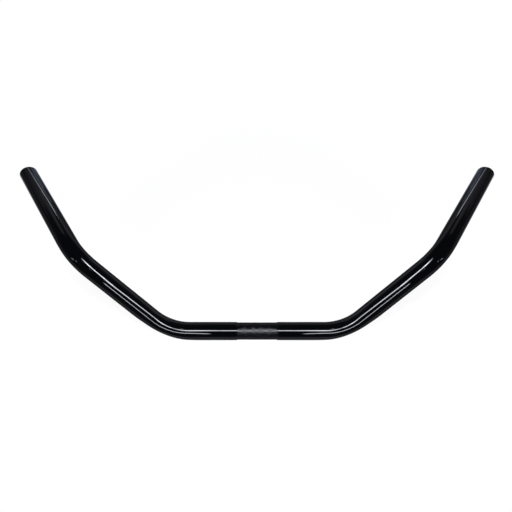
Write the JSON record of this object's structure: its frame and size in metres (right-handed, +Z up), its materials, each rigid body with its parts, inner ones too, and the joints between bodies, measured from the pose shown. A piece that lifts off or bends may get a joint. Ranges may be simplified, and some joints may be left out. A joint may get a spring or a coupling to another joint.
{
  "type": "bicycle handlebar",
  "caption": "Cruiser handlebar: one gloss black steel tube that rises and sweeps back in two bends to each grip, with a knurled neck for a stem clamp.",
  "frame": {"origin": "centre of the neck that the stem clamps, on the tube's axis", "axes": "+X along the centre run to the right grip, +Y back to the grip ends, +Z up off the surface that the bar lies on"},
  "size_m": [0.6286, 0.2259, 0.0765],
  "materials": {
    "gloss_black_paint": "smooth gloss paint, knurled at the neck"
  },
  "bodies": {
    "root": {"handlebar": "gloss_black_paint"}
  },
  "joints": []
}
